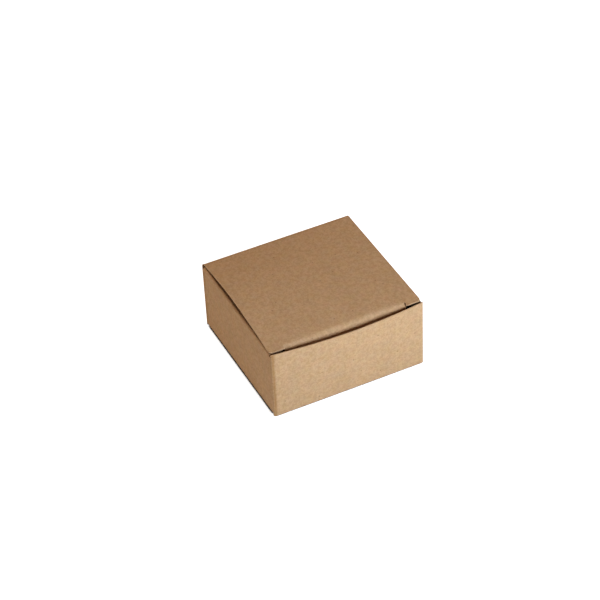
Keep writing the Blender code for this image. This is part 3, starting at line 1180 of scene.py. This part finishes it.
    def build_dust_flap(self, hand: Hand, materials: list[bpy.types.Material]) -> bpy.types.Object:
        """Make the dust flap on one side wall: its crease and its die-cut blade.

        Each column runs evenly from its place on the fold to its place on the free edge.

        Args:
            hand: Side of the box.
            materials: Materials of the face, the inside and the cut edge.

        Returns:
            The board.
        """
        s = self.sizes
        name = f"{self.prefix}{hand.name.lower()}_dust_flap"
        low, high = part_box(name)
        length = (high.x if hand is Hand.LEFT else -low.x) + s.right_x
        outline = self.dust_outline(length, low.y, high.y)
        y = np.linspace(low.y, high.y, len(outline))
        fold_along, fold_out, fold_length = fold(s.fold_radius, self.fold_steps)
        folded = slice(0, len(fold_out))
        share = np.linspace(0, 1, self.dust_rows + 1)[1:, None]
        reach = s.fold_radius + (outline[:, 0] - s.fold_radius) * share
        reach = np.concatenate([fold_along[:, None] + np.zeros(len(y)), reach])
        across = y + (outline[:, 1] - y) * share
        across = np.concatenate([np.broadcast_to(y, (len(fold_along), len(y))), across])
        out = np.zeros(reach.shape)
        out[folded] = fold_out[:, None]
        run = np.maximum(reach - s.fold_radius, 0) + fold_length[-1]
        run[folded] = fold_length[:, None]
        wall_x = s.right_x * hand
        height = self.level(s.dust_inset) + out * self.end
        points = np.stack([wall_x - reach * hand, across, height], axis=-1)
        wall = Wall.LEFT if hand is Hand.LEFT else Wall.RIGHT
        blank = np.stack([self.sleeve.blank_across(wall, across),
                          self.blank_from_edge(s.dust_edge, run)], axis=-1)
        # Light painted shade along the fold.
        crease = self.dust_painted_shade * fade_from(run, [fold_length[-1]], self.painted_shade_reach)
        sheet = Sheet(f"{name}_board", points, blank, crease, flip=self.end * hand < 0)
        return self.dress(sheet.build(s.board, materials), name)

    def build(self, materials: list[bpy.types.Material]) -> None:
        """Make every board of this closure.

        Args:
            materials: Materials of the face, the inside and the cut edge.
        """
        self.build_cover(materials)
        self.build_tuck(materials)
        for hand in Hand:
            self.build_dust_flap(hand, materials)


def seen(tree: Tree) -> Socket:
    """Tell rays that the eye follows, straight or by gloss or glass, from those that only light.

    Args:
        tree: Node tree that gets the nodes.

    Returns:
        1 for camera, glossy and transmission rays, 0 for the rest.
    """
    rays = add_node(tree, "ShaderNodeLightPath").outputs
    sharp = add_node(tree, "ShaderNodeMath", {"operation": "MAXIMUM"},
                     {0: rays["Is Camera Ray"], 1: rays["Is Glossy Ray"]})
    return add_node(tree, "ShaderNodeMath", {"operation": "MAXIMUM"},
                    {0: sharp.outputs[0], 1: rays["Is Transmission Ray"]}).outputs[0]


def direction(azimuth: float, elevation: float) -> Vector:
    """Unit vector from the box towards an azimuth, 0 in front, and an elevation, in radians."""
    flat = math.cos(elevation)
    return Vector((math.sin(azimuth) * flat, -math.cos(azimuth) * flat, math.sin(elevation)))


@dataclass(frozen=True)
class WhiteLaminate:
    """White melamine laminate of the table top: smooth, matt and colourless.

    It shows the box's soft shadow and no clear reflection. For the eye alone it also glows, so
    that the floor fades into the white surroundings. Where the box overhangs it closely, its
    colour and its glow both go: a painted contact shadow, a dark line along the box's foot.
    """

    colour: str = "#EDEDED"
    roughness: float = 0.6
    specular: float = 0.2
    glow: float = 0.88
    painted_shadow_reach: float = 0.003  # painted contact shadow, and fading glow, nearer the box than this
    painted_shadow_range: tuple[float, float] = (0.48, 0.6)  # openness at which the painted shadow is darkest and at which it is gone

    def material(self) -> bpy.types.Material:
        """Make the floor's material.

        Returns:
            The new material.
        """
        material = new_material("white_laminate", self.roughness, self.specular)
        tree = material.node_tree
        sockets = tree.nodes["Principled BSDF"].inputs
        sockets["Emission Color"].default_value = WHITE
        openness = add_node(tree, "ShaderNodeAmbientOcclusion", {}, {"Distance": self.painted_shadow_reach})
        dark, plain = self.painted_shadow_range
        inputs = {"Value": openness.outputs["AO"], "From Min": dark, "From Max": plain}
        share = add_node(tree, "ShaderNodeMapRange", {}, inputs).outputs[0]
        # Painted contact shadow: the floor's colour darkens where the box hides it closely.
        painted_shadow_colour = add_node(tree, "ShaderNodeVectorMath", {"operation": "SCALE"},
                       {0: linear(self.colour)[:3], "Scale": share})
        tree.links.new(painted_shadow_colour.outputs[0], sockets["Base Color"])
        level = add_node(tree, "ShaderNodeMath", {"operation": "MULTIPLY"}, {0: share, 1: self.glow})
        glow = add_node(tree, "ShaderNodeMath", {"operation": "MULTIPLY"},
                        {0: seen(tree), 1: level.outputs[0]})
        tree.links.new(glow.outputs[0], sockets["Emission Strength"])
        return material


@dataclass(frozen=True)
class Lamp:
    """A softbox that faces the box's middle."""

    name: str
    azimuth: float  # degrees from straight in front, to the right
    elevation: float  # degrees
    distance: float
    size: float
    power: float  # watts
    colour: str

    def hang(self, target: Vector) -> None:
        """Hang the softbox.

        Args:
            target: Point that it faces.
        """
        data = bpy.data.lights.new(self.name, "AREA")
        data.shape, data.size = "SQUARE", self.size
        data.energy = self.power
        data.color = linear(self.colour)[:3]
        away = direction(math.radians(self.azimuth), math.radians(self.elevation))
        facing = away.to_track_quat("Z", "Y").to_matrix().to_4x4()
        lamp = bpy.data.objects.new(self.name, data)
        lamp.matrix_world = Matrix.Translation(target + away * self.distance) @ facing
        bpy.context.scene.collection.objects.link(lamp)


@dataclass
class Studio:
    """Plain studio: pale floor, white surroundings, softboxes and the camera."""

    sizes: CartonSizes
    camera_azimuth: float = math.radians(-24.605)
    camera_elevation: float = math.radians(40.027)
    camera_roll: float = math.radians(-2.894)
    camera_distance: float = 1.12784
    camera_offset: tuple[float, float] = (-0.006977, 0.021604)  # to its right and up, in metres
    camera_clip: tuple[float, float] = (0.01, 20.0)
    lens: float = 132.84  # millimetres
    sensor: float = 36.0  # millimetres
    floor_size: float = 4.0
    floor_gap: float = 0.00002  # from the floor up to the box's underside
    floor_finish: WhiteLaminate = WhiteLaminate()
    ambient: float = 0.008  # strength of the surroundings as light on the box
    lamps: tuple[Lamp, ...] = (
        Lamp("key_softbox", azimuth=12, elevation=21, distance=0.4, size=0.11,
             power=1.65, colour="#D9EBFF"),
        Lamp("rear_softbox", azimuth=180, elevation=57, distance=1.0, size=0.4,
             power=4.55, colour="#FFECDC"),
        Lamp("left_softbox", azimuth=-95, elevation=10, distance=0.6, size=0.2,
             power=0.8, colour="#FFF9F3"),
    )

    def build_camera(self) -> None:
        """Place the camera where the photograph was taken from.

        It looks at the box's foot from its direction, is turned about its view by its roll, and
        is then moved by its offset.
        """
        back = direction(self.camera_azimuth, self.camera_elevation)
        right = Vector((0, 0, 1)).cross(back).normalized()
        up = back.cross(right)
        turned_right = math.cos(self.camera_roll) * right + math.sin(self.camera_roll) * up
        turned_up = math.cos(self.camera_roll) * up - math.sin(self.camera_roll) * right
        x, y = self.camera_offset
        eye = turned_right * x + turned_up * y + back * self.camera_distance
        data = bpy.data.cameras.new("camera")
        data.lens, data.sensor_width = self.lens, self.sensor
        data.clip_start, data.clip_end = self.camera_clip
        camera = bpy.data.objects.new("camera", data)
        axes = Matrix((turned_right, turned_up, back)).transposed()
        camera.matrix_world = Matrix.Translation(eye) @ axes.to_4x4()
        bpy.context.scene.collection.objects.link(camera)
        bpy.context.scene.camera = camera

    def build_world(self) -> None:
        """White surroundings: full white to the eye, much gentler as light on the box."""
        world = bpy.data.worlds.new("white_studio")
        world.use_nodes = True
        bpy.context.scene.world = world
        tree = world.node_tree
        background = tree.nodes["Background"]
        background.inputs["Color"].default_value = WHITE
        level = add_node(tree, "ShaderNodeMapRange", {}, {"Value": seen(tree), "To Min": self.ambient})
        tree.links.new(level.outputs[0], background.inputs["Strength"])

    def build_floor(self) -> None:
        """Table top: one square face, just below the box."""
        half = self.floor_size / 2
        corners = [(-half, -half), (half, -half), (half, half), (-half, half)]
        mesh = bpy.data.meshes.new("floor")
        mesh.from_pydata([(x, y, -self.floor_gap) for x, y in corners], [], [tuple(range(len(corners)))])
        mesh.materials.append(self.floor_finish.material())
        floor = bpy.data.objects.new("floor", mesh)
        bpy.context.scene.collection.objects.link(floor)

    def build(self) -> None:
        """Set up the camera, the light and the floor."""
        self.build_camera()
        for lamp in self.lamps:
            lamp.hang(Vector((0, 0, self.sizes.height / 2)))
        self.build_world()
        self.build_floor()
        bpy.context.scene.view_settings.view_transform = "Standard"


def main() -> None:
    """Build the box, piece by piece, and its studio."""
    logging.basicConfig(level=logging.INFO, format="%(name)s: %(message)s")
    sizes = CartonSizes.measure()
    spans = (2 * sizes.right_x, 2 * sizes.back_y, sizes.height)
    log.info("carton: %.1f x %.1f x %.1f mm", *(span * MILLIMETRES for span in spans))
    Studio(sizes).build()
    materials = [KraftBoard().material(surface) for surface in Surface]
    sleeve = Sleeve(sizes)
    board = sleeve.build(materials)
    log.info("%s: %d points", board.name, len(board.data.vertices))
    for end in End:
        Closure(sizes, sleeve, end).build(materials)


if __name__ == "__main__":
    main()
